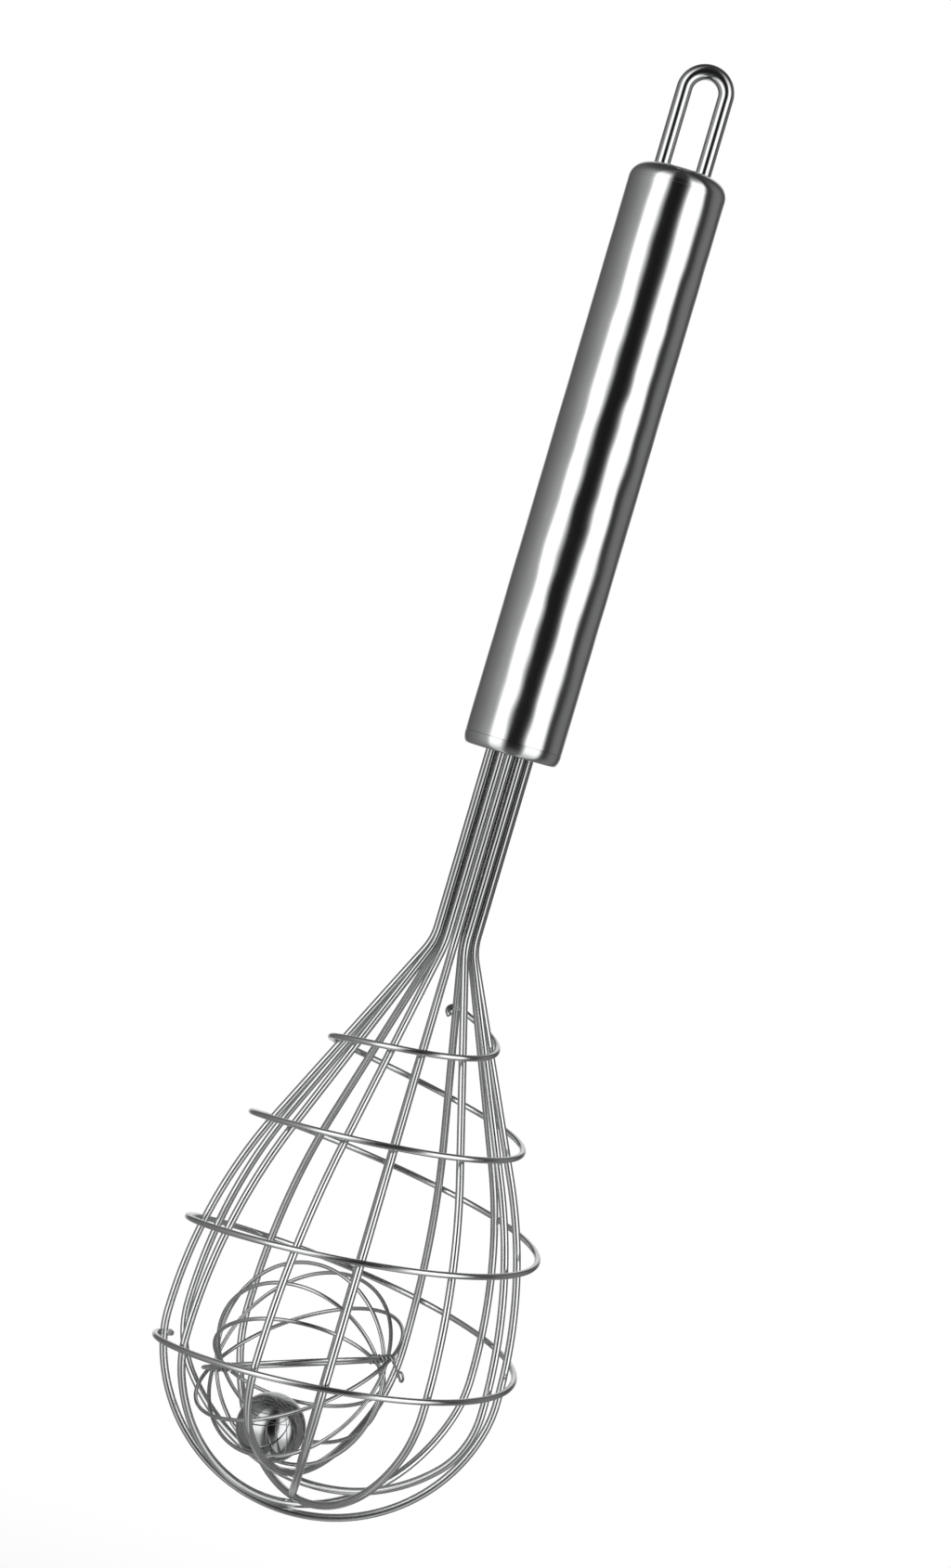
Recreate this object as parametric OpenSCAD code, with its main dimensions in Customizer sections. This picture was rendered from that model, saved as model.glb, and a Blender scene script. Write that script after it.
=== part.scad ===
// Whisk of polished steel wire with a loose wire ball in its balloon and a steel ball in that.
// Millimetres. +Z runs along the whisk, up towards the handle. The front is towards -Y.
// The origin is the inner top of the hanging loop, where a hook carries the whisk.

/* [Hanging loop] */
// Diameter of the loop's wire
loop_wire_d = 3.2; // [2.4:0.1:4]
// Width over both legs of the loop
loop_w = 11.6; // [10:0.1:14]
// Height of the loop above the handle's flat top
loop_stand = 22; // [16:0.5:30]

/* [Handle] */
// Outside diameter of the handle tube
handle_d = 19.8; // [18:0.1:24]
// Length of the handle over both caps
handle_l = 120; // [80:1:160]
// Wall of the handle tube
tube_wall = 0.8; // [0.6:0.1:1.2]
// Wall of the pressed end caps
cap_wall = 1; // [0.8:0.1:1.5]
// Radius of the rounded shoulder of the top cap
shoulder_r = 3.5; // [2:0.1:4]
// Depth that each cap's skirt goes into the tube
skirt_l = 6; // [4:0.5:8]
// Height of the bottom cap below the seam
bottom_cap_h = 2.6; // [2:0.1:4]
// Diameter of the bottom cap's end face
bottom_face_d = 18.2; // [17:0.1:19]
// Thickness of the plate that the loop's legs are fixed in
anchor_t = 3; // [2:0.5:5]

/* [Wire bundle] */
// Radius of the ring that the twelve wires lie on in the neck
bundle_r = 4.1; // [3.9:0.05:4.8]
// Length of the straight neck below the handle
neck_l = 36.6; // [25:0.1:50]
// Length of wire held inside the handle
wire_hold = 28; // [22:1:36]
// Length of the crimped sleeve
sleeve_l = 20; // [14:1:24]
// Wall of the crimped sleeve
sleeve_wall = 0.9; // [0.6:0.1:1.4]
// Length of the sealing plug round the sleeve
plug_l = 12; // [8:1:16]

/* [Balloon] */
// Diameter of the whisk loops' wire
rib_d = 1.6; // [1.4:0.05:1.8]
// Height of the balloon from the neck to the tip
balloon_h = 121.4; // [110:0.2:140]
// Radius of the balloon at its widest, to the wire's centre
balloon_r = 34; // [31:0.5:38]
// Height of the widest place above the tip wire's centre
widest_h = 32; // [29:0.5:36]
// Angle at which the wires leave the neck
flare_angle = 25.5; // [22:0.5:27]
// Radius of the bend out of the neck
neck_bend_r = 12; // [8:1:16]
// Gap between loops that cross at the tip
cross_gap = 0.04; // [0.02:0.01:0.1]

/* [Spiral wire] */
// Diameter of the spiral wire
spiral_d = 1.25; // [1:0.05:1.5]
// Turns of the spiral round the balloon
spiral_turns = 3.68; // [3:0.01:3.8]
// Height of the spiral's start above the tip
spiral_start_h = 105.7; // [96:0.1:110]
// Drop of the spiral in one turn
spiral_drop = 21.4; // [19:0.1:23]
// Widening of the spiral to the left and right of the ribs, half way along
spiral_bulge = 2.9; // [0:0.1:4]

/* [Wire ball] */
// Diameter of the wire ball's wire
hoop_d = 0.8; // [0.7:0.05:0.9]
// Radius of the largest hoop, to the wire's centre
hoop_r = 21.6; // [20.6:0.1:21.6]
// Diameter of the steel ball
steel_ball_d = 14; // [11:0.1:14]

/* [Hidden] */

// Fineness of round pieces, slip between fitted pieces and overrun of cuts
round_steps = 64;
wire_steps = 32;
bend_steps = 256;
shoulder_steps = 8;
rib_sides = 8;
tube_layers = 10;
tip_arc_steps = 12;
side_arc_steps = 5;
flare_arc_steps = 8;
neck_arc_steps = 5;
slip = 0.05;
overrun = 1;

// Heights along the whisk
handle_top_z = loop_wire_d - loop_stand;
handle_bottom_z = handle_top_z - handle_l;
neck_end_z = handle_bottom_z - neck_l;
tip_z = neck_end_z - balloon_h;
tip_wire_z = tip_z + rib_d / 2;
widest_z = tip_wire_z + widest_h;

// Handle radii, from the tube inwards
handle_r = handle_d / 2;
tube_bore_r = handle_r - tube_wall;
skirt_r = tube_bore_r - slip;
skirt_bore_r = skirt_r - cap_wall;
tube_top_z = handle_top_z - shoulder_r;
tube_bottom_z = handle_bottom_z + bottom_cap_h;
bottom_face_r = bottom_face_d / 2;
crown_under_z = handle_top_z - cap_wall;

// The anchor plate sits in the top cap's skirt, and the hanging loop's legs end flush under it
loop_leg_x = (loop_w - loop_wire_d) / 2;
leg_hole_r = loop_wire_d / 2 + slip;
arch_z = loop_wire_d / 2 - loop_leg_x;
anchor_z = tube_top_z - slip - anchor_t;
leg_end_z = anchor_z;

// The bundle of twelve wires, with its sleeve, core and plug
bundle_outer_r = bundle_r + rib_d / 2;
bundle_hole_r = bundle_outer_r + slip;
core_r = bundle_r - rib_d / 2 - slip;
sleeve_r = bundle_hole_r + sleeve_wall;
wire_top_z = handle_bottom_z + wire_hold;
sleeve_z = wire_top_z - sleeve_l - cap_wall;
core_z = handle_bottom_z + cap_wall;
plug_z = tube_bottom_z + skirt_l + slip;

// One whisk loop lies in one plane through the axis. Outermost first, the planes' angles
// are counted from the far side towards the right.
loop_planes = [90, 57, 145, 0, 114, 24];
cross_pitch = rib_d + cross_gap;
side_bend_share = 0.75;

// Shape of a rib above the widest place: a shoulder arc, a straight run and the neck's bend,
// found so that they meet with no corner
flare_out = balloon_r - bundle_r;
flare_rise = neck_end_z - widest_z;
bends_sum = (flare_out * cos(flare_angle) - flare_rise * sin(flare_angle)) / (cos(flare_angle) - 1);
shoulder_bend_r = bends_sum - neck_bend_r;
outer_side_r = side_bend_share * widest_h;
straight_low_z = widest_z + shoulder_bend_r * sin(flare_angle);
straight_low_r = balloon_r - shoulder_bend_r * (1 - cos(flare_angle));
straight_high_z = neck_end_z - neck_bend_r * sin(flare_angle);

// Where the spiral lies against the ribs, and how its height strays from an even drop
spiral_touch = ((rib_d + spiral_d) / 2 + slip) / cos(flare_angle);
spiral_start_turn = 0.0667;
spiral_lift = 4.3;
spiral_tilt = 1.4;
spiral_rings = 24;
spiral_sides = 6;
spiral_half_turn_rings = spiral_rings / 2;

// The wire ball's hoops cross at its poles one inside the next. The list gives each hoop's
// place in that nest, going round the poles in equal turns, so the largest lie by the steel ball.
hoop_nest = [0, 1, 2, 4, 5, 3];
hoop_count = len(hoop_nest);
hoop_gap = 0.05;
hoop_pitch = hoop_d + hoop_gap;

// Place of the wire ball in the balloon: off the axis by shares of the balloon's widest radius,
// and above the tip by a share of the ball's own radius, because it lies on the tip's wires.
// Its poles lean by the angles.
ball_x_share = -0.176;
ball_y_share = -0.027;
ball_h_share = 1.3537;
ball_x = balloon_r * ball_x_share;
ball_y = balloon_r * ball_y_share;
ball_z = tip_wire_z + hoop_r * ball_h_share;
pole_rise_angle = 22;
pole_turn_angle = -31.5;
hoop_phase_angle = -60;

// Place of the steel ball from the wire ball's middle, as shares of the largest hoop's radius
steel_x_share = -0.082;
steel_y_share = -0.16;
steel_z_share = -0.612;

function unit(vector) = vector / norm(vector);

// A tube of one diameter swept along a line of points, with each ring square to the line. The
// line never heads along the side direction.
module swept_tube(line, radius, sides, side_way) {
    last = len(line) - 1;
    rings = [for (step = [0:last])
        let (
            heading = unit(line[min(step + 1, last)] - line[max(step - 1, 0)]),
            across = unit(cross(side_way, heading)),
            along = cross(heading, across))
        for (side = [0:sides - 1])
            let (angle = 360 * side / sides)
            line[step] + radius * (cos(angle) * across + sin(angle) * along)];
    skin = [for (step = [0:last - 1], side = [0:sides - 1])
        let (
            here = step * sides + side,
            beside = step * sides + (side + 1) % sides)
        each [[here, here + sides, beside], [beside, here + sides, beside + sides]]];
    near_end = [for (side = [1:sides - 2]) [0, side, side + 1]];
    far_end = [for (side = [1:sides - 2])
        [last * sides, last * sides + side + 1, last * sides + side]];
    polyhedron(points = rings, faces = concat(skin, near_end, far_end), convexity = tube_layers);
}

module round_ring(outer_r, inner_r, height) {
    difference() {
        cylinder(h = height, r = outer_r, $fn = round_steps);
        translate([0, 0, -overrun])
            cylinder(h = height + 2 * overrun, r = inner_r, $fn = round_steps);
    }
}

// Handle tube, open at both ends
module handle_tube() {
    color("silver")
        translate([0, 0, tube_bottom_z])
            round_ring(handle_r, tube_bore_r, tube_top_z - tube_bottom_z);
}

// Pressed cap with a rounded shoulder, two holes for the loop's legs and a skirt in the tube
module top_cap() {
    shoulder = [for (step = [0:shoulder_steps])
        let (angle = 90 * step / shoulder_steps)
        [handle_r - shoulder_r + shoulder_r * sin(angle), tube_top_z + shoulder_r * cos(angle)]];
    inside = [
        [skirt_r, tube_top_z],
        [skirt_r, tube_top_z - skirt_l],
        [skirt_bore_r, tube_top_z - skirt_l],
        [skirt_bore_r, tube_top_z],
        [handle_r - shoulder_r, crown_under_z],
        [0, crown_under_z],
        [0, handle_top_z]];
    color("silver")
        difference() {
            rotate_extrude($fn = round_steps) polygon(concat(shoulder, inside));
            for (side = [-1, 1])
                translate([side * loop_leg_x, 0, crown_under_z - overrun])
                    cylinder(h = cap_wall + 2 * overrun, r = leg_hole_r, $fn = wire_steps);
        }
}

// Tapered end cap with the hole that the wires leave by and a skirt in the tube
module bottom_cap() {
    color("silver")
        rotate_extrude($fn = round_steps)
            polygon([
                [bundle_hole_r, handle_bottom_z],
                [bottom_face_r, handle_bottom_z],
                [handle_r, tube_bottom_z],
                [skirt_r, tube_bottom_z],
                [skirt_r, tube_bottom_z + skirt_l],
                [skirt_bore_r, tube_bottom_z + skirt_l],
                [skirt_bore_r, handle_bottom_z + cap_wall],
                [bundle_hole_r, handle_bottom_z + cap_wall]]);
}

// Round wire bent to a U, with its legs through the top cap and the anchor plate
module hanging_loop() {
    color("gainsboro")
        translate([0, 0, arch_z]) {
            rotate([90, 0, 0])
                rotate_extrude(angle = 180, $fn = bend_steps)
                    translate([loop_leg_x, 0])
                        circle(r = loop_wire_d / 2, $fn = wire_steps);
            for (side = [-1, 1])
                translate([side * loop_leg_x, 0, leg_end_z - arch_z])
                    cylinder(h = arch_z - leg_end_z, r = loop_wire_d / 2, $fn = wire_steps);
        }
}

// Plate inside the top cap that holds the loop's legs
module loop_anchor() {
    color("darkgray")
        translate([0, 0, anchor_z])
            difference() {
                cylinder(h = anchor_t, r = skirt_bore_r - slip, $fn = round_steps);
                for (side = [-1, 1])
                    translate([side * loop_leg_x, 0, -overrun])
                        cylinder(h = anchor_t + 2 * overrun, r = leg_hole_r, $fn = wire_steps);
            }
}

// Sleeve crimped round the twelve wire ends
module wire_sleeve() {
    color("darkgray")
        translate([0, 0, sleeve_z]) round_ring(sleeve_r, bundle_hole_r, sleeve_l);
}

// Pin in the middle of the wire ends, which the sleeve crimps them against
module wire_core() {
    color("darkgray")
        translate([0, 0, core_z]) cylinder(h = wire_top_z - core_z, r = core_r, $fn = round_steps);
}

// Filling between the sleeve and the handle tube
module sealing_plug() {
    color("dimgray")
        translate([0, 0, plug_z]) round_ring(tube_bore_r - slip, sleeve_r + slip, plug_l);
}

// Points round an arc, from one angle to another
function arc_line(centre, radius, from, to, steps) = [for (step = [0:steps])
    let (angle = from + (to - from) * step / steps)
    centre + radius * [cos(angle), sin(angle)]];

// Half of one whisk loop, from the middle of the tip to the end in the handle, as distance from
// the axis and height over the widest place. Each arc meets the piece before it with no corner,
// and leaves out the point that they share.
function half_loop(depth) =
    let (
        side_r = side_bend_share * depth,
        tip_r = (pow(balloon_r - side_r, 2) + pow(depth, 2) - pow(side_r, 2)) / (2 * (depth - side_r)),
        tip_angle = atan2(balloon_r - side_r, tip_r - depth),
        tip_arc = arc_line([0, tip_r - depth], tip_r, -90, tip_angle - 90, tip_arc_steps),
        side_arc = arc_line([balloon_r - side_r, 0], side_r, tip_angle - 90, 0, side_arc_steps),
        flare_arc = arc_line([balloon_r - shoulder_bend_r, 0], shoulder_bend_r, 0, flare_angle,
            flare_arc_steps),
        neck_arc = arc_line([bundle_r + neck_bend_r, flare_rise], neck_bend_r, 180 + flare_angle, 180,
            neck_arc_steps))
    concat(
        tip_arc,
        [for (step = [1:side_arc_steps]) side_arc[step]],
        [for (step = [1:flare_arc_steps]) flare_arc[step]],
        neck_arc,
        [[bundle_r, flare_rise + neck_l + wire_hold]]);

// One wire of the balloon, from the handle round the tip and back. Each level crosses the axis
// one wire further in than the level before.
module whisk_loop(level) {
    half = half_loop(widest_h - level * cross_pitch);
    last = len(half) - 1;
    line = concat(
        [for (step = [last:-1:1]) [-half[step][0], 0, half[step][1]]],
        [for (step = [0:last]) [half[step][0], 0, half[step][1]]]);
    color("gainsboro")
        translate([0, 0, widest_z])
            rotate([0, 0, 90 - loop_planes[level]])
                swept_tube(line, rib_d / 2, rib_sides, [0, 1, 0]);
}

// Radius of the ribs at a height, to the wire's centre
function rib_radius(z) =
    z < widest_z ? balloon_r - outer_side_r + sqrt(pow(outer_side_r, 2) - pow(widest_z - z, 2))
    : z < straight_low_z ? balloon_r - shoulder_bend_r + sqrt(pow(shoulder_bend_r, 2) - pow(z - widest_z, 2))
    : z < straight_high_z ? straight_low_r - (z - straight_low_z) * tan(flare_angle)
    : bundle_r + neck_bend_r - sqrt(pow(neck_bend_r, 2) - pow(neck_end_z - z, 2));

// Point of the spiral after a number of turns. It starts on the far side and goes round by the
// right, and lies wider than the ribs to the left and right.
function spiral_point(turn) =
    let (
        along = (turn - spiral_start_turn) / spiral_turns,
        swell = pow(sin(180 * along), 2),
        z = tip_wire_z + spiral_start_h - spiral_drop * (turn - spiral_start_turn)
            + spiral_lift * swell - spiral_tilt * (1 - along) * sin(360 * turn),
        radius = rib_radius(z) + spiral_touch + spiral_bulge * swell * pow(sin(360 * turn), 2))
    [radius * sin(360 * turn), radius * cos(360 * turn), z];

// The spiral's centre line, with its ends carried on straight for one wire diameter
spiral_step_count = ceil(spiral_turns * spiral_rings);
spiral_middle = [for (step = [0:spiral_step_count])
    spiral_point(spiral_start_turn + spiral_turns * step / spiral_step_count)];
function carried_on(from, to, length) = to + length * unit(to - from);
spiral_line = concat(
    [carried_on(spiral_middle[1], spiral_middle[0], spiral_d)],
    spiral_middle,
    [carried_on(spiral_middle[spiral_step_count - 1], spiral_middle[spiral_step_count], spiral_d)]);

// Smallest gap between points of the spiral that lie at least half a turn apart
spiral_gap = min([for (first = [0:spiral_step_count], second = [0:spiral_step_count])
    if (second > first + spiral_half_turn_rings) norm(spiral_middle[first] - spiral_middle[second])]) - spiral_d;
echo(spiral_least_gap_to_itself = spiral_gap);

module spiral_wire() {
    color("silver") swept_tube(spiral_line, spiral_d / 2, spiral_sides, [0, 0, 1]);
}

// Lean of the wire ball's poles, about its middle
module in_wire_ball() {
    translate([ball_x, ball_y, ball_z])
        rotate([0, 90 - pole_rise_angle, pole_turn_angle])
            children();
}

// One hoop of the wire ball, through both poles
module ball_hoop(place) {
    color("lightgray")
        in_wire_ball()
            rotate([90, 0, hoop_phase_angle + 180 * place / hoop_count])
                rotate_extrude($fn = bend_steps)
                    translate([hoop_r - hoop_nest[place] * hoop_pitch, 0])
                        circle(r = hoop_d / 2, $fn = wire_steps);
}

// Solid ball that rattles in the wire ball
module steel_ball() {
    color("dimgray")
        translate([ball_x, ball_y, ball_z] + hoop_r * [steel_x_share, steel_y_share, steel_z_share])
            sphere(r = steel_ball_d / 2, $fn = round_steps);
}

handle_tube();
top_cap();
bottom_cap();
hanging_loop();
loop_anchor();
wire_sleeve();
wire_core();
sealing_plug();
whisk_loop(0);  // whisk_loop_1
whisk_loop(1);  // whisk_loop_2
whisk_loop(2);  // whisk_loop_3
whisk_loop(3);  // whisk_loop_4
whisk_loop(4);  // whisk_loop_5
whisk_loop(5);  // whisk_loop_6
spiral_wire();
ball_hoop(0);  // ball_hoop_1
ball_hoop(1);  // ball_hoop_2
ball_hoop(2);  // ball_hoop_3
ball_hoop(3);  // ball_hoop_4
ball_hoop(4);  // ball_hoop_5
ball_hoop(5);  // ball_hoop_6
steel_ball();
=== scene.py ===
import math

import bpy
from mathutils import Euler, Matrix, Vector


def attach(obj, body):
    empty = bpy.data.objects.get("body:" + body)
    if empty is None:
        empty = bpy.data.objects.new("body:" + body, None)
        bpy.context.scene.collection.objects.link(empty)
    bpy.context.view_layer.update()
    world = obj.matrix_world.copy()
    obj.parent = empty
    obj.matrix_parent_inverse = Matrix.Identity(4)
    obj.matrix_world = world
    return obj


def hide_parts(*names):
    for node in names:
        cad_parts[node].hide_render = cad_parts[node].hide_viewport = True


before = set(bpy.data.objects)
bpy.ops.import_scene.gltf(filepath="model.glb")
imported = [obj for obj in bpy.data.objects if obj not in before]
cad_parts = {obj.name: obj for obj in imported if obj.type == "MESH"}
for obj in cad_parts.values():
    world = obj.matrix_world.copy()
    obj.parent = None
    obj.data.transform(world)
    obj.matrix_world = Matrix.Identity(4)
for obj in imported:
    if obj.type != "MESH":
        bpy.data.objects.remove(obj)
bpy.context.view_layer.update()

# The camera. It looks at the whisk from the front, a little above the balloon, and is rolled so
# that the whisk leans to the right in the picture. No floor line shows.
mm = 0.001
view_distance = 720 * mm
view_rise = math.radians(1.35)
view_roll = math.radians(16.42)
view_lens = 83.3
view_end = 20
view_aim_x = -4.9 * mm
view_aim_z = -146.3 * mm

bpy.ops.object.select_all(action="DESELECT")
bpy.ops.object.camera_add(
    location=(view_aim_x, -view_distance * math.cos(view_rise),
              view_aim_z + view_distance * math.sin(view_rise)),
    rotation=(math.radians(90) - view_rise, 0, 0))
camera = bpy.context.object
camera.name = "whisk_camera"
bpy.context.view_layer.update()
camera.matrix_world = camera.matrix_world @ Matrix.Rotation(view_roll, 4, "Z")
camera.data.lens = view_lens
camera.data.clip_end = view_end
bpy.context.scene.camera = camera
bpy.context.scene.view_settings.view_transform = "Standard"


# The studio. A wide pale floor lies below the hanging whisk, and a white world stands behind both.
# Near the whisk the lamps light the floor, so it keeps a soft shadow, and far away its own white
# runs over into the world. From below it can be seen through.
floor_drop = 460 * mm
floor_size = 14
floor_cells = 24
floor_white = (0.93, 0.93, 0.93, 1)
floor_glow_near = 0.3
shadow_reach = 0.66
shadow_edge_share = 0.75
world_for_light = 0.27


def feed(node, feeds):
    """Gives a node's sockets their values, or joins them to the outputs that feed them."""
    for socket, source in feeds.items():
        if isinstance(source, bpy.types.NodeSocket):
            node.id_data.links.new(source, node.inputs[socket])
        else:
            node.inputs[socket].default_value = source


def put_node(tree, kind, feeds=None, **settings):
    """Adds a shader node, sets it and feeds it."""
    node = tree.nodes.new(kind)
    for name, value in settings.items():
        setattr(node, name, value)
    feed(node, feeds or {})
    return node


def bare_tree(owner):
    """Empties the nodes of a new material or world and returns them."""
    owner.use_nodes = True
    owner.node_tree.nodes.clear()
    return owner.node_tree


def looked_at(tree):
    """1 where the camera, a mirror or glass looks at a thing, and 0 where it lights other things."""
    ray = put_node(tree, "ShaderNodeLightPath")
    seen = put_node(tree, "ShaderNodeMath",
                    {0: ray.outputs["Is Camera Ray"], 1: ray.outputs["Is Glossy Ray"]},
                    operation="ADD", use_clamp=True)
    seen_too = put_node(tree, "ShaderNodeMath", {0: seen.outputs[0], 1: ray.outputs["Is Transmission Ray"]},
                        operation="ADD", use_clamp=True)
    return seen_too.outputs[0]


bpy.ops.object.select_all(action="DESELECT")
bpy.ops.mesh.primitive_grid_add(x_subdivisions=floor_cells, y_subdivisions=floor_cells, size=floor_size,
                                location=(0, 0, -floor_drop))
floor = bpy.context.object
floor.name = "studio_floor"
floor_paint = bpy.data.materials.new("pale_floor_paint")
tree = bare_tree(floor_paint)
place = put_node(tree, "ShaderNodeTexCoord")
spread = put_node(tree, "ShaderNodeMapping",
                  {"Vector": place.outputs["Object"], "Scale": (1 / shadow_reach,) * 3})
nearness = put_node(tree, "ShaderNodeTexGradient", {"Vector": spread.outputs["Vector"]},
                    gradient_type="SPHERICAL")
fade = put_node(tree, "ShaderNodeMapRange",
                {"Value": nearness.outputs["Fac"], "From Max": shadow_edge_share,
                 "To Min": 1.0, "To Max": floor_glow_near},
                interpolation_type="SMOOTHSTEP")
share = put_node(tree, "ShaderNodeMath", {0: looked_at(tree), 1: fade.outputs["Result"]},
                 operation="MULTIPLY")
paint = put_node(tree, "ShaderNodeBsdfDiffuse", {"Color": floor_white})
glow = put_node(tree, "ShaderNodeEmission", {"Strength": 1.0})
topside = put_node(tree, "ShaderNodeMixShader",
                   {0: share.outputs[0], 1: paint.outputs[0], 2: glow.outputs[0]})
side = put_node(tree, "ShaderNodeNewGeometry")
clear = put_node(tree, "ShaderNodeBsdfTransparent")
one_sided = put_node(tree, "ShaderNodeMixShader",
                     {0: side.outputs["Backfacing"], 1: topside.outputs[0], 2: clear.outputs[0]})
put_node(tree, "ShaderNodeOutputMaterial", {"Surface": one_sided.outputs[0]})
floor.data.materials.append(floor_paint)

world = bpy.data.worlds.new("white_room")
bpy.context.scene.world = world
tree = bare_tree(world)
level = put_node(tree, "ShaderNodeMapRange",
                 {"Value": looked_at(tree), "To Min": world_for_light, "To Max": 1.0})
room = put_node(tree, "ShaderNodeBackground", {"Color": (1, 1, 1, 1), "Strength": level.outputs["Result"]})
put_node(tree, "ShaderNodeOutputWorld", {"Surface": room.outputs[0]})


# The tent of cards round the whisk, as a maker of steel ware has it for a picture: upright white,
# grey and black cards all round, a dark sheet above and a grey one below, which only the polished
# steel sees. Angles are counted from the front, positive to the right, and shades run together.
tent_r = 1250 * mm
tent_bottom_z = -440 * mm
tent_top_z = 1060 * mm
tent_middle_z = -150 * mm
tent_sides = 96
card_shades = [
    (-180, 0.85), (-164, 0.85), (-157, 0.12), (-150, 0.12), (-125, 0.17), (-95, 0.27), (-70, 0.50),
    (-61, 0.70), (-56, 2.0), (-30, 2.0), (-24, 0.85), (-17, 0.06), (-12, 0.012), (2, 0.008),
    (16, 0.012), (23, 0.25), (28, 1.0), (32, 2.0), (64, 2.0), (71, 0.5), (76, 0.03), (88, 0.05), (98, 0.18),
    (110, 0.24), (128, 0.22), (138, 0.08), (157, 0.12), (164, 0.85), (180, 0.85)]
brightest_card = 2.0
sheet_shades = [(-1.0, 0.20), (-0.35, 0.28), (0.0, 0.22), (0.4, 0.11), (0.7, 0.06), (1.0, 0.05)]
card_reach = [(-1.0, 0.25), (-0.6, 0.3), (-0.25, 1.0), (0.55, 1.0), (0.8, 0.12), (1.0, 0.0)]


def card_ramp(tree, along, shades, brightest):
    """The grey of the cards at a place along them, from pairs of place and shade."""
    ramp = put_node(tree, "ShaderNodeValToRGB", {"Fac": along})
    ramp.color_ramp.interpolation = "B_SPLINE"
    stops = ramp.color_ramp.elements
    first_place, last_place = shades[0][0], shades[-1][0]
    for number, (card_place, shade) in enumerate(shades):
        at = (card_place - first_place) / (last_place - first_place)
        stop = stops[number] if number < len(stops) else stops.new(at)
        stop.position = at
        stop.color = (shade / brightest,) * 3 + (1,)
    return ramp.outputs["Color"]


bpy.ops.object.select_all(action="DESELECT")
bpy.ops.mesh.primitive_cylinder_add(vertices=tent_sides, radius=tent_r, depth=tent_top_z - tent_bottom_z,
                                    location=(0, 0, (tent_top_z + tent_bottom_z) / 2))
cards = bpy.context.object
cards.name = "studio_cards"
card_paint = bpy.data.materials.new("studio_card")
tree = bare_tree(card_paint)
place = put_node(tree, "ShaderNodeTexCoord")
turn = put_node(tree, "ShaderNodeMapping",
                {"Vector": place.outputs["Object"], "Rotation": (0, 0, math.radians(90)),
                 "Location": (0, 0, cards.location.z - tent_middle_z)})
around = put_node(tree, "ShaderNodeTexGradient", {"Vector": turn.outputs["Vector"]}, gradient_type="RADIAL")
way = put_node(tree, "ShaderNodeVectorMath", {0: turn.outputs["Vector"]}, operation="NORMALIZE")
parts = put_node(tree, "ShaderNodeSeparateXYZ", {"Vector": way.outputs["Vector"]})
rise = put_node(tree, "ShaderNodeMapRange", {"Value": parts.outputs["Z"], "From Min": -1.0})
uprights = card_ramp(tree, around.outputs["Fac"], card_shades, brightest_card)
sheets = card_ramp(tree, rise.outputs["Result"], sheet_shades, brightest_card)
reach = card_ramp(tree, rise.outputs["Result"], card_reach, 1)
joined = put_node(tree, "ShaderNodeMix", {"Factor": reach, "A": sheets, "B": uprights}, data_type="RGBA")
glow = put_node(tree, "ShaderNodeEmission", {"Color": joined.outputs["Result"], "Strength": brightest_card})
put_node(tree, "ShaderNodeOutputMaterial", {"Surface": glow.outputs[0]})
cards.data.materials.append(card_paint)
cards.visible_camera = False
cards.visible_diffuse = False
cards.visible_transmission = False
cards.visible_shadow = False


# The lamps: two large soft ones from the left and the right and a small one from above, all turned
# to the whisk's middle. They light the floor and what isn't steel, and the steel doesn't mirror them.
lamp_aim = Vector((0, 0, -150 * mm))
soft_lamps = [("left_lamp", (-750, -950, 250), 6.0, 900), ("right_lamp", (850, -850, 200), 6.0, 900),
              ("top_lamp", (50, -100, 1000), 10.0, 200)]

for name, spot, power, size in soft_lamps:
    bpy.ops.object.light_add(type="AREA", location=[length * mm for length in spot])
    lamp = bpy.context.object
    lamp.name = name
    lamp.data.energy = power
    lamp.data.size = size * mm
    lamp.rotation_euler = (lamp_aim - lamp.location).to_track_quat("-Z", "Y").to_euler()
    lamp.visible_camera = False
    lamp.visible_glossy = False


# Handle tube: drawn stainless steel, 19.8 mm across with a 0.8 mm wall, cut square, its rims
# broken a little and its outside buffed to a mirror. The two caps are pressed into its ends.
handle_r = 9.9 * mm
bore_r = 9.1 * mm
tube_top_z = -22.3 * mm
tube_bottom_z = -136.2 * mm
top_chamfer = 0.03 * mm
bottom_chamfer = 0.08 * mm
round_sides = 160
turned_edge = 32
weld_gap = 0.002 * mm
smudge_start = 0.45
smudge_full = 0.75
smudge_wear = 0.65
line_wear = 0.35
pit_reach = 0.12
pit_depth = 0.6
uneven_scale = (80, 80, 95)
uneven_depth = 0.42 * mm


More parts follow.
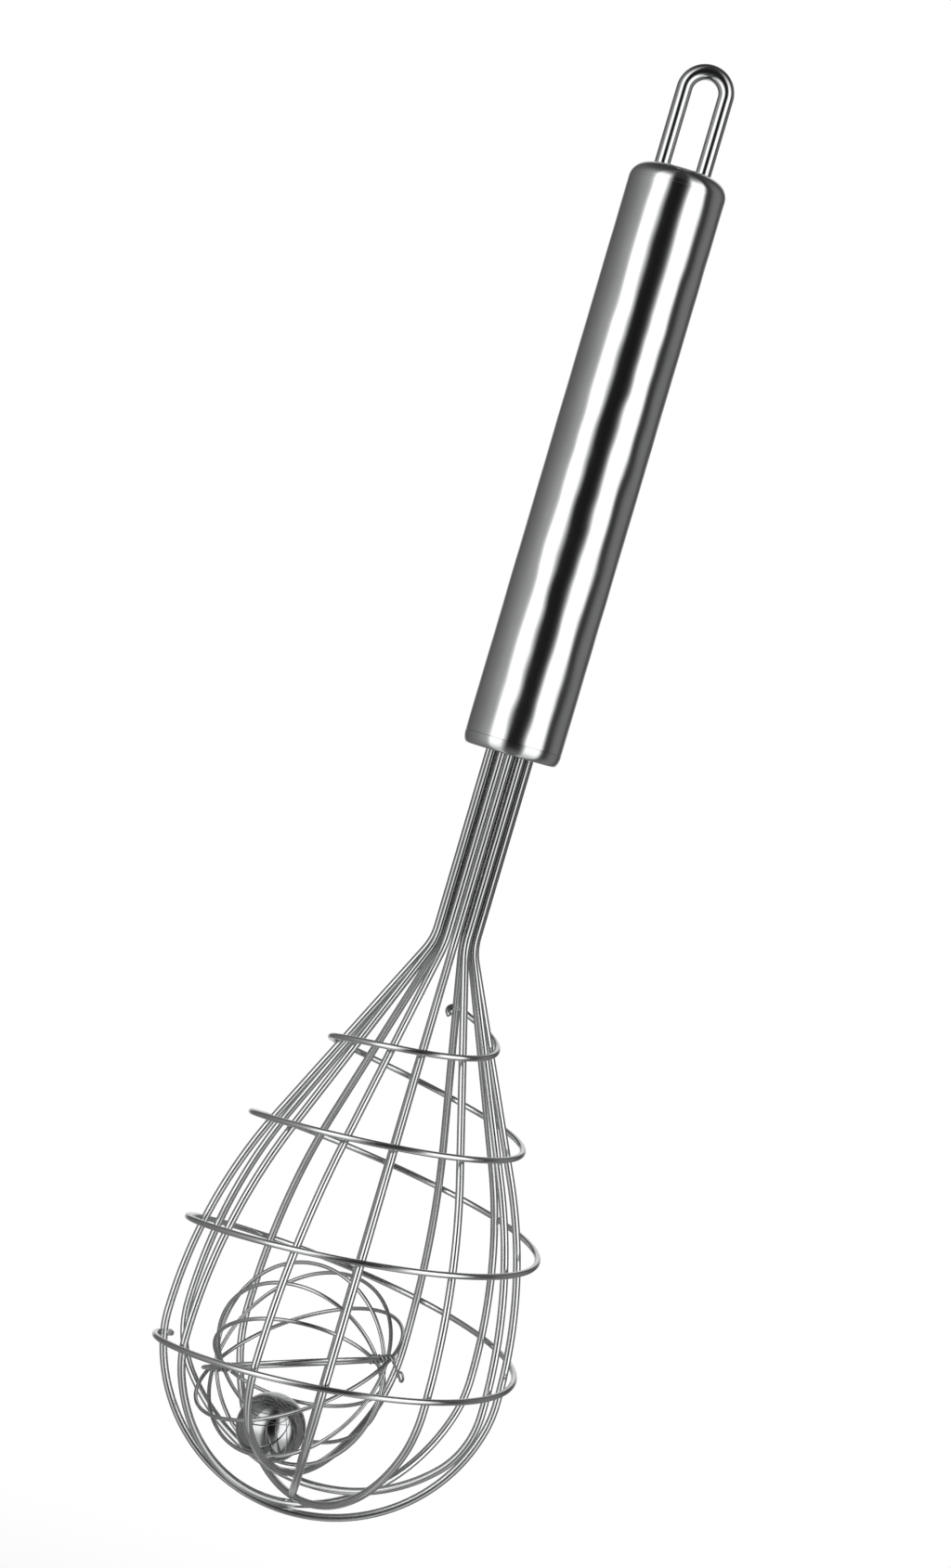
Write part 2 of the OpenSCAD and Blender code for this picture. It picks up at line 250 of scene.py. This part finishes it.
def buffing_marks():
    """Node group: the fine lines, pits and finger smudges that buffing and use leave on steel."""
    group = bpy.data.node_groups.new("buffing_marks", "ShaderNodeTree")
    for name in ("Place", "Line places"):
        group.interface.new_socket(name, in_out="INPUT", socket_type="NodeSocketVector")
    for name in ("Smudge scale", "Pit scale", "Smooth", "Rough", "Dark tone"):
        group.interface.new_socket(name, in_out="INPUT", socket_type="NodeSocketFloat")
    for name in ("Tone", "Roughness", "Height"):
        group.interface.new_socket(name, in_out="OUTPUT", socket_type="NodeSocketFloat")
    given = put_node(group, "NodeGroupInput")
    lines = put_node(group, "ShaderNodeTexNoise",
                     {"Vector": given.outputs["Line places"], "Scale": 1, "Detail": 3, "Roughness": 0.7})
    smudges = put_node(group, "ShaderNodeTexNoise",
                       {"Vector": given.outputs["Place"], "Scale": given.outputs["Smudge scale"],
                        "Detail": 4, "Roughness": 0.6})
    smudge_mask = put_node(group, "ShaderNodeMapRange",
                           {"Value": smudges.outputs["Fac"], "From Min": smudge_start,
                            "From Max": smudge_full})
    pits = put_node(group, "ShaderNodeTexVoronoi",
                    {"Vector": given.outputs["Place"], "Scale": given.outputs["Pit scale"]})
    pit_mask = put_node(group, "ShaderNodeMapRange",
                        {"Value": pits.outputs["Distance"], "From Max": pit_reach,
                         "To Min": 1.0, "To Max": 0.0})
    fine_wear = put_node(group, "ShaderNodeMath", {0: lines.outputs["Fac"], 1: line_wear},
                         operation="MULTIPLY")
    wear = put_node(group, "ShaderNodeMath",
                    {0: smudge_mask.outputs["Result"], 1: smudge_wear, 2: fine_wear.outputs[0]},
                    operation="MULTIPLY_ADD")
    rough = put_node(group, "ShaderNodeMapRange",
                     {"Value": wear.outputs[0], "To Min": given.outputs["Smooth"],
                      "To Max": given.outputs["Rough"]})
    tone = put_node(group, "ShaderNodeMapRange",
                    {"Value": wear.outputs[0], "To Min": 1.0, "To Max": given.outputs["Dark tone"]})
    height = put_node(group, "ShaderNodeMath",
                      {0: pit_mask.outputs["Result"], 1: -pit_depth, 2: lines.outputs["Fac"]},
                      operation="MULTIPLY_ADD")
    put_node(group, "NodeGroupOutput",
             {"Tone": tone.outputs["Result"], "Roughness": rough.outputs["Result"],
              "Height": height.outputs[0]})
    return group


marks = buffing_marks()


def toned(tree, colour, tone):
    """A colour made darker by a grey tone."""
    mixed = put_node(tree, "ShaderNodeMix", {"Factor": 1.0, "A": colour, "B": tone},
                     data_type="RGBA", blend_type="MULTIPLY")
    return mixed.outputs["Result"]


def steel(name, colour, smoothest, roughest, line_scale, smudge_scale, pit_scale, dark_tone,
          relief, relief_depth):
    """A polished stainless steel with its own colour, roughness, line direction and marks."""
    finish = bpy.data.materials.new(name)
    finish.use_nodes = True
    tree = finish.node_tree
    place = put_node(tree, "ShaderNodeTexCoord")
    stretch = put_node(tree, "ShaderNodeMapping", {"Vector": place.outputs["Object"], "Scale": line_scale})
    worn = put_node(tree, "ShaderNodeGroup",
                    {"Place": place.outputs["Object"], "Line places": stretch.outputs["Vector"],
                     "Smudge scale": smudge_scale, "Pit scale": pit_scale, "Smooth": smoothest,
                     "Rough": roughest, "Dark tone": dark_tone},
                    node_tree=marks)
    fine_relief = put_node(tree, "ShaderNodeBump",
                           {"Height": worn.outputs["Height"], "Strength": relief,
                            "Distance": relief_depth},
                           name="fine_relief")
    feed(tree.nodes["Principled BSDF"],
         {"Metallic": 1.0, "Base Color": toned(tree, (*colour, 1), worn.outputs["Tone"]),
          "Roughness": worn.outputs["Roughness"], "Normal": fine_relief.outputs["Normal"]})
    return finish


handle_steel = steel("handle_mirror_steel", colour=(0.66, 0.665, 0.67), smoothest=0.045, roughest=0.19,
                     line_scale=(60, 60, 1400), smudge_scale=55, pit_scale=900, dark_tone=0.9,
                     relief=0.16, relief_depth=0.02 * mm)
# Drawing and buffing by hand leave the tube a little uneven, so that what it mirrors wavers
tree = handle_steel.node_tree
place = put_node(tree, "ShaderNodeTexCoord")
stretch = put_node(tree, "ShaderNodeMapping", {"Vector": place.outputs["Object"], "Scale": uneven_scale})
swells = put_node(tree, "ShaderNodeTexNoise", {"Vector": stretch.outputs["Vector"], "Scale": 1, "Detail": 1})
uneven = put_node(tree, "ShaderNodeBump",
                  {"Height": swells.outputs["Fac"], "Strength": 1, "Distance": uneven_depth})
feed(tree.nodes["fine_relief"], {"Normal": uneven.outputs["Normal"]})


def close_mesh():
    """Merges the points of a seam, fills open ends, turns the faces outwards and leaves edit mode."""
    bpy.ops.mesh.select_all(action="SELECT")
    bpy.ops.mesh.remove_doubles(threshold=weld_gap)
    bpy.ops.mesh.fill_holes(sides=0)
    bpy.ops.mesh.select_all(action="SELECT")
    bpy.ops.mesh.normals_make_consistent(inside=False)
    bpy.ops.object.mode_set(mode="OBJECT")


def turned_piece(name, outline):
    """Draws an outline point by point beside the handle's axis and spins it once round."""
    bpy.ops.object.select_all(action="DESELECT")
    bpy.ops.mesh.primitive_plane_add(size=1 * mm, location=(0, 0, 0))
    piece = bpy.context.object
    piece.name = name
    bpy.ops.object.mode_set(mode="EDIT")
    bpy.ops.mesh.merge(type="CENTER")
    bpy.ops.transform.translate(value=(outline[0][0], 0, outline[0][1]))
    for (r, z), (next_r, next_z) in zip(outline, outline[1:]):
        bpy.ops.mesh.extrude_region_move(TRANSFORM_OT_translate={"value": (next_r - r, 0, next_z - z)})
    bpy.ops.mesh.select_all(action="SELECT")
    bpy.ops.mesh.spin(steps=round_sides, angle=math.tau, center=(0, 0, 0), axis=(0, 0, 1))
    close_mesh()
    return piece


def pick(piece):
    """Leaves only this piece selected and at hand."""
    bpy.ops.object.select_all(action="DESELECT")
    piece.select_set(True)
    bpy.context.view_layer.objects.active = piece


def smooth(piece, edge):
    """Shades a piece round, and hard where its faces meet at more than so many degrees."""
    pick(piece)
    bpy.ops.object.shade_smooth_by_angle(angle=math.radians(edge))


def coat(piece, finish):
    """Gives a piece its finish."""
    piece.data.materials.clear()
    piece.data.materials.append(finish)


def dress(piece, finish, body, slot, *nodes):
    """Coats a finished piece, puts it on its body and hides the nodes that it stands for."""
    coat(piece, finish)
    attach(piece, body)
    if nodes:
        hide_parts(*nodes)


tube = turned_piece("polished_handle_tube", [
    (bore_r, tube_bottom_z + bottom_chamfer), (bore_r + bottom_chamfer, tube_bottom_z),
    (handle_r - bottom_chamfer, tube_bottom_z), (handle_r, tube_bottom_z + bottom_chamfer),
    (handle_r, tube_top_z - top_chamfer), (handle_r - top_chamfer, tube_top_z),
    (bore_r + top_chamfer, tube_top_z), (bore_r, tube_top_z - top_chamfer),
    (bore_r, tube_bottom_z + bottom_chamfer)])
smooth(tube, turned_edge)
dress(tube, handle_steel, "whisk", "handle_steel", "handle_tube")


# Top cap: pressed from stainless sheet, flat on top with a rounded shoulder that carries on the
# tube's outside. Its skirt is a push fit in the tube, and the hanging loop's legs go through two
# holes in its flat.
cap_top_z = -18.8 * mm
shoulder_r = 3.5 * mm
shoulder_steps = 18
seam_angle = 0.6
flat_margin = 0.35 * mm
cap_wall = 1.0 * mm
skirt_r = 9.05 * mm
skirt_l = 6.0 * mm
leg_x = 4.2 * mm
leg_hole_r = 1.72 * mm
hole_sides = 48


def arc(centre, radius, start, end, steps):
    """Points of a round corner of an outline, between two angles in degrees."""
    return [(centre[0] + radius * math.cos(math.radians(start + (end - start) * step / steps)),
             centre[1] + radius * math.sin(math.radians(start + (end - start) * step / steps)))
            for step in range(steps + 1)]


def lie_in_place(piece):
    """Puts a piece's place into its mesh, so that the piece itself lies at the origin, unturned."""
    pick(piece)
    bpy.ops.object.transform_apply(location=True, rotation=True, scale=True)


def use_modifier(piece, kind, **settings):
    """Works a piece with a modifier and applies it."""
    change = piece.modifiers.new(kind.lower(), kind)
    for name, value in settings.items():
        setattr(change, name, value)
    pick(piece)
    bpy.ops.object.modifier_apply(modifier=change.name)


shoulder = arc((handle_r - shoulder_r, tube_top_z), shoulder_r, 90, seam_angle, shoulder_steps)
top_cap = turned_piece(
    "pressed_top_cap",
    [(0, cap_top_z), (handle_r - shoulder_r - flat_margin, cap_top_z)] + shoulder
    + [(handle_r - top_chamfer, tube_top_z), (skirt_r, tube_top_z), (skirt_r, tube_top_z - skirt_l),
       (skirt_r - cap_wall, tube_top_z - skirt_l), (skirt_r - cap_wall, tube_top_z),
       (handle_r - shoulder_r, cap_top_z - cap_wall), (0, cap_top_z - cap_wall)])
# Each drill is turned by half a side, so that none of its edges lies on an edge of the cap's flat
for side in (-1, 1):
    bpy.ops.object.select_all(action="DESELECT")
    bpy.ops.mesh.primitive_cylinder_add(vertices=hole_sides, radius=leg_hole_r, depth=4 * cap_wall,
                                        location=(side * leg_x, 0, cap_top_z),
                                        rotation=(0, 0, math.pi / hole_sides))
    drill = bpy.context.object
    lie_in_place(drill)
    use_modifier(top_cap, "BOOLEAN", object=drill, operation="DIFFERENCE", solver="EXACT")
    bpy.data.objects.remove(drill)
smooth(top_cap, turned_edge)
dress(top_cap, handle_steel, "whisk", "handle_steel", "top_cap")


# Bottom cap: a short stainless cap below the tube's rim, turned, polished and drawn in to its face
# in a low curve, its edges broken. The twelve wires leave by the hole in its face, and its skirt is
# a push fit in the tube.
cap_bottom_z = -138.8 * mm
bottom_face_r = 9.1 * mm
wire_hole_r = 4.95 * mm
edge_break = 0.15 * mm
crown_steps = 14
crown_top_z = tube_bottom_z - bottom_chamfer
crown_foot_r = bottom_face_r - edge_break
cap_steel = steel("cap_polished_steel", colour=(0.62, 0.625, 0.63), smoothest=0.08, roughest=0.2,
                  line_scale=(90, 90, 1100), smudge_scale=70, pit_scale=1100, dark_tone=0.9,
                  relief=0.15, relief_depth=0.02 * mm)

crown = []
for step in range(1, crown_steps + 1):
    share = math.sin(math.radians(90 * step / crown_steps))
    crown.append((crown_foot_r + (handle_r - crown_foot_r) * share,
                  crown_top_z - (crown_top_z - cap_bottom_z) * math.sqrt(1 - share ** 2)))
bottom_cap = turned_piece(
    "turned_bottom_cap",
    [(wire_hole_r, cap_bottom_z + cap_wall), (wire_hole_r, cap_bottom_z + edge_break),
     (wire_hole_r + edge_break, cap_bottom_z), (crown_foot_r, cap_bottom_z)] + crown
    + [(handle_r - bottom_chamfer, tube_bottom_z), (skirt_r, tube_bottom_z),
       (skirt_r, tube_bottom_z + skirt_l), (skirt_r - cap_wall, tube_bottom_z + skirt_l),
       (skirt_r - cap_wall, cap_bottom_z + cap_wall), (wire_hole_r, cap_bottom_z + cap_wall)])
smooth(bottom_cap, turned_edge)
dress(bottom_cap, cap_steel, "whisk", "cap_steel", "bottom_cap")


# Hanging loop: 3.2 mm stainless wire bent to a U round a former, polished after bending. Its
# legs go through the cap's holes and are fixed in the plate inside the cap.
loop_wire_r = 1.6 * mm
loop_arch_z = -2.6 * mm
leg_end_z = -25.35 * mm
loop_sides = 32
leg_lengths = 4
arch_steps = 48
wire_edge = 60
loop_steel = steel("loop_polished_steel", colour=(0.6, 0.605, 0.61), smoothest=0.07, roughest=0.2,
                   line_scale=(900, 900, 70), smudge_scale=120, pit_scale=1600, dark_tone=0.88,
                   relief=0.2, relief_depth=0.03 * mm)


def wire_end(name, radius, sides, spot, lean=(0, 0, 0)):
    """The round end of a new wire, in edit mode with its ring selected, ready to be drawn out."""
    bpy.ops.object.select_all(action="DESELECT")
    bpy.ops.mesh.primitive_circle_add(vertices=sides, radius=radius, fill_type="NOTHING", location=spot,
                                      rotation=lean)
    piece = bpy.context.object
    piece.name = name
    lie_in_place(piece)
    bpy.ops.object.mode_set(mode="EDIT")
    bpy.ops.mesh.select_all(action="SELECT")
    return piece


def pull(way, lengths):
    """Draws the wire's end straight on, in equal lengths."""
    for length in range(lengths):
        bpy.ops.mesh.extrude_region_move(TRANSFORM_OT_translate={"value": [w / lengths for w in way]})


def bend(centre, axis, angle, steps):
    """Bends the wire's end round a former. With no window, spin turns the other way."""
    bpy.ops.mesh.spin(steps=steps, angle=-angle, center=centre, axis=axis)


loop = wire_end("hanging_loop_wire", loop_wire_r, loop_sides, (-leg_x, 0, leg_end_z))
pull((0, 0, loop_arch_z - leg_end_z), leg_lengths)
bend((0, 0, loop_arch_z), (0, 1, 0), math.pi, arch_steps)
pull((0, 0, leg_end_z - loop_arch_z), leg_lengths)
close_mesh()
smooth(loop, wire_edge)
dress(loop, loop_steel, "whisk", "loop_steel", "hanging_loop")


# Pieces inside the handle: the plate that holds the loop's legs, the sleeve crimped round the
# wire ends and the pin they are crimped on are turned steel, and the plug is cast resin.
resin_dark = (0.035, 0.035, 0.037, 1)
resin_pale = (0.075, 0.075, 0.078, 1)
resin_smoothest = 0.35
resin_roughest = 0.6
filler_scale = 900
inner_steel = steel("inner_turned_steel", colour=(0.5, 0.5, 0.51), smoothest=0.28, roughest=0.5,
                    line_scale=(200, 200, 2500), smudge_scale=90, pit_scale=1300, dark_tone=0.8,
                    relief=0.4, relief_depth=0.05 * mm)

for name in ("loop_anchor", "wire_sleeve", "wire_core"):
    coat(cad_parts[name], inner_steel)

resin = bpy.data.materials.new("cast_sealing_resin")
resin.use_nodes = True
tree = resin.node_tree
place = put_node(tree, "ShaderNodeTexCoord")
filler = put_node(tree, "ShaderNodeTexNoise",
                  {"Vector": place.outputs["Object"], "Scale": filler_scale, "Detail": 4})
shade = put_node(tree, "ShaderNodeValToRGB", {"Fac": filler.outputs["Fac"]})
shade.color_ramp.elements[0].color = resin_dark
shade.color_ramp.elements[1].color = resin_pale
gloss = put_node(tree, "ShaderNodeMapRange",
                 {"Value": filler.outputs["Fac"], "To Min": resin_smoothest, "To Max": resin_roughest})
feed(tree.nodes["Principled BSDF"],
     {"Base Color": shade.outputs["Color"], "Roughness": gloss.outputs["Result"]})
coat(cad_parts["sealing_plug"], resin)


# Whisk loops: six lengths of 1.6 mm stainless wire, each bent in one plane: down out of the
# handle, out at the neck, round the balloon and back. Each crosses under the last at the tip.
rib_r = 0.8 * mm
rib_sides = 18
bundle_r = 4.1 * mm
balloon_r = 34 * mm
wire_top_z = -110.8 * mm
neck_end_z = -175.4 * mm
widest_z = -264 * mm
widest_h = 32 * mm
neck_bend_r = 12 * mm
flare = math.radians(25.5)
loop_planes = [90, 57, 145, 0, 114, 24]
cross_pitch = 1.64 * mm
side_bend_share = 0.75
straight_lengths = 6
neck_bend_steps = 10
upper_bend_steps = 26
side_bend_steps = 30
tip_bend_steps = 26
mirror_gap = 0.01 * mm
# Painted shade in the neck: how much it darkens the wires' colour, and over what height it fades in
neck_painted_shade_tone = 0.62
neck_painted_shade_fade = 14 * mm
wire_steel = steel("whisk_wire_steel", colour=(0.7, 0.705, 0.71), smoothest=0.14, roughest=0.3,
                   line_scale=(600, 600, 600), smudge_scale=160, pit_scale=1900, dark_tone=0.82,
                   relief=0.12, relief_depth=0.02 * mm)
# Painted shade: in the neck, where the wires lie close, the steel's colour is darkened towards the handle
tree = wire_steel.node_tree
shader = tree.nodes["Principled BSDF"]
place = put_node(tree, "ShaderNodeTexCoord")
parts = put_node(tree, "ShaderNodeSeparateXYZ", {"Vector": place.outputs["Object"]})
neck_painted_shade = put_node(tree, "ShaderNodeMapRange",
                  {"Value": parts.outputs["Z"], "From Min": neck_end_z - neck_painted_shade_fade,
                   "From Max": neck_end_z + neck_painted_shade_fade / 2, "To Min": 1.0, "To Max": neck_painted_shade_tone})
unshaded_wire_colour = shader.inputs["Base Color"].links[0].from_socket
feed(shader, {"Base Color": toned(tree, unshaded_wire_colour, neck_painted_shade.outputs["Result"])})

# The upper bend and the straight stretch above it are such that neck and balloon are joined smoothly
flare_rise = neck_end_z - widest_z
bends_sum = ((balloon_r - bundle_r) * math.cos(flare) - flare_rise * math.sin(flare)) / (math.cos(flare) - 1)
upper_bend_r = bends_sum - neck_bend_r
straight_l = (flare_rise - bends_sum * math.sin(flare)) / math.cos(flare)

for level, plane in enumerate(loop_planes):
    depth = widest_h - level * cross_pitch
    side_r = side_bend_share * depth
    tip_r = ((balloon_r - side_r) ** 2 + depth ** 2 - side_r ** 2) / (2 * (depth - side_r))
    tip_turn = math.atan2(balloon_r - side_r, tip_r - depth)
    rib = wire_end("whisk_loop_wire_%d" % (level + 1), rib_r, rib_sides, (bundle_r, 0, wire_top_z))
    pull((0, 0, neck_end_z - wire_top_z), straight_lengths)
    bend((bundle_r + neck_bend_r, 0, neck_end_z), (0, 1, 0), -flare, neck_bend_steps)
    pull((straight_l * math.sin(flare), 0, -straight_l * math.cos(flare)), straight_lengths)
    bend((balloon_r - upper_bend_r, 0, widest_z), (0, 1, 0), flare, upper_bend_steps)
    bend((balloon_r - side_r, 0, widest_z), (0, 1, 0), math.pi / 2 - tip_turn, side_bend_steps)
    bend((0, 0, widest_z - depth + tip_r), (0, 1, 0), tip_turn, tip_bend_steps)
    bpy.ops.object.mode_set(mode="OBJECT")
    use_modifier(rib, "MIRROR", use_axis=(True, False, False), use_mirror_merge=True,
                 merge_threshold=mirror_gap)
    bpy.ops.object.mode_set(mode="EDIT")
    close_mesh()
    rib.rotation_euler = (0, 0, math.radians(90 - plane))
    lie_in_place(rib)
    smooth(rib, wire_edge)
    dress(rib, wire_steel, "whisk", "whisk_wire", "whisk_loop_%d" % (level + 1))


# Spiral wire: one length of 1.25 mm stainless wire wound 3.7 turns round the outside of the ribs,
# wider than they are to the left and right. Each end is hooked round a rib and welded to it.
spiral_r = 0.625 * mm
spiral_sides = 16
spiral_turns = 3.68
spiral_start_turn = 0.0667
spiral_end_turn = 3.75
spiral_steps = 400
spiral_start_h = 105.7 * mm
spiral_drop = 21.4 * mm
spiral_lift = 4.3 * mm
spiral_tilt = 1.4 * mm
spiral_bulge = 2.9 * mm
fit_slip = 0.05 * mm
tip_wire_z = -296 * mm
start_hook_turn = math.radians(165)
end_hook_turn = math.radians(225)
hook_steps = 28
hook_pitch = 0.25 * mm
slope_start = 6 * mm
spiral_steel = steel("spiral_wire_steel", colour=(0.7, 0.705, 0.71), smoothest=0.12, roughest=0.28,
                     line_scale=(600, 600, 600), smudge_scale=170, pit_scale=2100, dark_tone=0.85,
                     relief=0.25, relief_depth=0.03 * mm)

upper_bend_top_z = widest_z + upper_bend_r * math.sin(flare)
upper_bend_top_r = balloon_r - upper_bend_r * (1 - math.cos(flare))
outer_side_r = side_bend_share * widest_h


def rib_radius(z):
    """How far the middle of the outermost rib's wire is from the axis at a height."""
    if z < widest_z:
        return balloon_r - outer_side_r + math.sqrt(outer_side_r ** 2 - (widest_z - z) ** 2)
    if z < upper_bend_top_z:
        return balloon_r - upper_bend_r + math.sqrt(upper_bend_r ** 2 - (z - widest_z) ** 2)
    return upper_bend_top_r - (z - upper_bend_top_z) * math.tan(flare)


def spiral_point(turn):
    """The middle of the spiral's wire after so many turns, counted from the back of the whisk."""
    along = (turn - spiral_start_turn) / spiral_turns
    swell = math.sin(math.pi * along) ** 2
    z = (tip_wire_z + spiral_start_h - spiral_drop * (turn - spiral_start_turn) + spiral_lift * swell
         - spiral_tilt * (1 - along) * math.sin(math.tau * turn))
    radius = (rib_radius(z) + (rib_r + spiral_r + fit_slip) / math.cos(flare)
              + spiral_bulge * swell * math.sin(math.tau * turn) ** 2)
    return Vector((radius * math.sin(math.tau * turn), radius * math.cos(math.tau * turn), z))


def hook_round_rib(last, before, hook_turn):
    """Points of an end that is bent in round the rib it lies on, a little along the rib."""
    outward = Vector((last.x, last.y, 0)).normalized()
    if rib_radius(last.z) < balloon_r - slope_start:
        outward = (outward + Vector((0, 0, math.tan(flare)))).normalized()
    onward = last - before
    side = (onward - outward * onward.dot(outward)).normalized()
    along = outward.cross(side)
    off = rib_r + spiral_r + fit_slip
    middle = last - outward * off
    return [middle + off * (outward * math.cos(angle) + side * math.sin(angle)) - along * hook_pitch * angle
            for angle in [hook_turn * step / hook_steps for step in range(1, hook_steps + 1)]]


def wire_along(name, points, radius, sides):
    """A round wire drawn along a line of points, made a mesh with its ends filled."""
    line = bpy.data.curves.new(name, "CURVE")
    line.dimensions = "3D"
    line.bevel_depth = radius
    line.bevel_resolution = sides // 2 - 2
    line.use_fill_caps = True
    run = line.splines.new("POLY")
    run.points.add(len(points) - 1)
    for spot, point in zip(run.points, points):
        spot.co = (*point, 1)
    piece = bpy.data.objects.new(name, line)
    bpy.context.scene.collection.objects.link(piece)
    pick(piece)
    bpy.ops.object.convert(target="MESH")
    bpy.ops.object.mode_set(mode="EDIT")
    close_mesh()
    return bpy.context.object


winding = [spiral_point(spiral_start_turn + (spiral_end_turn - spiral_start_turn) * step / spiral_steps)
           for step in range(spiral_steps + 1)]
start_hook = hook_round_rib(winding[0], winding[1], start_hook_turn)
end_hook = hook_round_rib(winding[-1], winding[-2], end_hook_turn)
spiral = wire_along("spiral_outer_wire", start_hook[::-1] + winding + end_hook, spiral_r, spiral_sides)
smooth(spiral, wire_edge)
dress(spiral, spiral_steel, "whisk", "spiral_steel", "spiral_wire")


# Wire ball: six hoops of 0.8 mm stainless wire that cross at two poles, one inside the next, where
# they are spot welded. It lies loose in the balloon.
hoop_r = 21.6 * mm
hoop_wire_r = 0.4 * mm
hoop_sides = 12
hoop_steps = 120
hoop_pitch = 0.85 * mm
hoop_nest = [0, 1, 2, 4, 5, 3]
hoop_phase = -60
pole_rise = 22
pole_swing = -31.5
pole_lean = (0, math.radians(90 - pole_rise), math.radians(pole_swing))
ball_middle = (-5.984 * mm, -0.918 * mm, tip_wire_z + 29.24 * mm)
hoop_steel = steel("hoop_wire_steel", colour=(0.6, 0.605, 0.61), smoothest=0.16, roughest=0.34,
                   line_scale=(500, 500, 500), smudge_scale=220, pit_scale=2600, dark_tone=0.8,
                   relief=0.3, relief_depth=0.03 * mm)

for number, nest in enumerate(hoop_nest):
    hoop = wire_end("wire_ball_hoop_%d" % (number + 1), hoop_wire_r, hoop_sides,
                    (hoop_r - nest * hoop_pitch, 0, 0), (math.radians(90), 0, 0))
    bend((0, 0, 0), (0, 0, 1), math.tau, hoop_steps)
    close_mesh()
    hoop.rotation_euler = (math.radians(90), 0, math.radians(hoop_phase + 180 * number / len(hoop_nest)))
    lie_in_place(hoop)
    hoop.rotation_euler = pole_lean
    hoop.location = ball_middle
    lie_in_place(hoop)
    smooth(hoop, wire_edge)
    dress(hoop, hoop_steel, "wire_ball", "hoop_wire", "ball_hoop_%d" % (number + 1))


# Pole ties: at each pole of the wire ball a soft 0.5 mm steel wire is wound round the crossing hoops
# and holds them. The right one's spare end leads away over the hoops and ends in a small curl.
tie_r = 0.25 * mm
tie_sides = 12
tie_coil_r = 0.78 * mm
tie_taper = 0.35
tie_inner_end = 16.6 * mm
tie_outer_end = 22.0 * mm
tie_turns = 6
tie_steps = 150
spare_l = 5.6 * mm
spare_inset = 0.3 * mm
spare_steps = 14
curl_turn = math.radians(47)
curl_r = 0.95 * mm
curl_start = -90
curl_sweep = 320
curl_drop = 0.6 * mm
curl_steps = 24
tie_steel = steel("pole_tie_steel", colour=(0.55, 0.555, 0.56), smoothest=0.2, roughest=0.4,
                  line_scale=(900, 900, 900), smudge_scale=300, pit_scale=3000, dark_tone=0.75,
                  relief=0.35, relief_depth=0.03 * mm)


def tie_coil(side):
    """Points of a tie's turns round the pole, which narrow towards its outer end."""
    points = []
    for step in range(tie_steps + 1):
        share = step / tie_steps
        angle = math.tau * tie_turns * share
        radius = tie_coil_r * (1 - tie_taper * share)
        points.append(Vector((radius * math.cos(angle), radius * math.sin(angle),
                              side * (tie_inner_end + (tie_outer_end - tie_inner_end) * share))))
    return points


def spare_end():
    """Points of the right tie's spare end, which leads away over the hoops and ends in a curl."""
    away = Vector((math.cos(curl_turn), math.sin(curl_turn), 0))
    across = Vector((-math.sin(curl_turn), math.cos(curl_turn), 0))
    outward = Vector((0, 0, 1))
    points = []
    for step in range(1, spare_steps + 1):
        off = tie_coil_r + spare_l * step / spare_steps
        height = math.sqrt((tie_outer_end - tie_r) ** 2 - off ** 2) - spare_inset
        points.append(away * off + outward * height)
    foot = points[-1]
    for step in range(1, curl_steps + 1):
        share = step / curl_steps
        angle = math.radians(curl_start + curl_sweep * share)
        points.append(foot + away * curl_r * math.cos(angle) + across * curl_r * (1 + math.sin(angle))
                      - outward * curl_drop * share)
    return points


pole_turn = Euler(pole_lean).to_matrix()
for tie_name, tie_points in (("wire_ball_right_tie", tie_coil(1) + spare_end()),
                             ("wire_ball_left_tie", tie_coil(-1))):
    tie = wire_along(tie_name, [pole_turn @ point + Vector(ball_middle) for point in tie_points],
                     tie_r, tie_sides)
    smooth(tie, wire_edge)
    dress(tie, tie_steel, "wire_ball", "hoop_wire")


# Steel ball: a 14 mm stainless ball, ground and lapped, loose in the wire ball. Its place is given
# from the wire ball's middle, in shares of the outer hoop's radius.
ball_r = 7.0 * mm
ball_cuts = 23
ball_place_shares = (-0.082, -0.16, -0.612)
ball_steel = steel("steel_ball_mirror", colour=(0.5, 0.505, 0.51), smoothest=0.04, roughest=0.12,
                   line_scale=(300, 300, 300), smudge_scale=200, pit_scale=1500, dark_tone=0.88,
                   relief=0.1, relief_depth=0.02 * mm)

bpy.ops.object.select_all(action="DESELECT")
bpy.ops.mesh.primitive_cube_add(size=2 * ball_r)
ball = bpy.context.object
ball.name = "lapped_steel_ball"
bpy.ops.object.mode_set(mode="EDIT")
bpy.ops.mesh.select_all(action="SELECT")
bpy.ops.mesh.subdivide(number_cuts=ball_cuts)
bpy.ops.transform.tosphere(value=1.0)
bpy.ops.object.mode_set(mode="OBJECT")
rough_r = ball.data.vertices[0].co.length
ball.scale = (ball_r / rough_r,) * 3
ball.location = [middle + hoop_r * share for middle, share in zip(ball_middle, ball_place_shares)]
lie_in_place(ball)
smooth(ball, wire_edge)
dress(ball, ball_steel, "steel_ball", "ball_steel", "steel_ball")
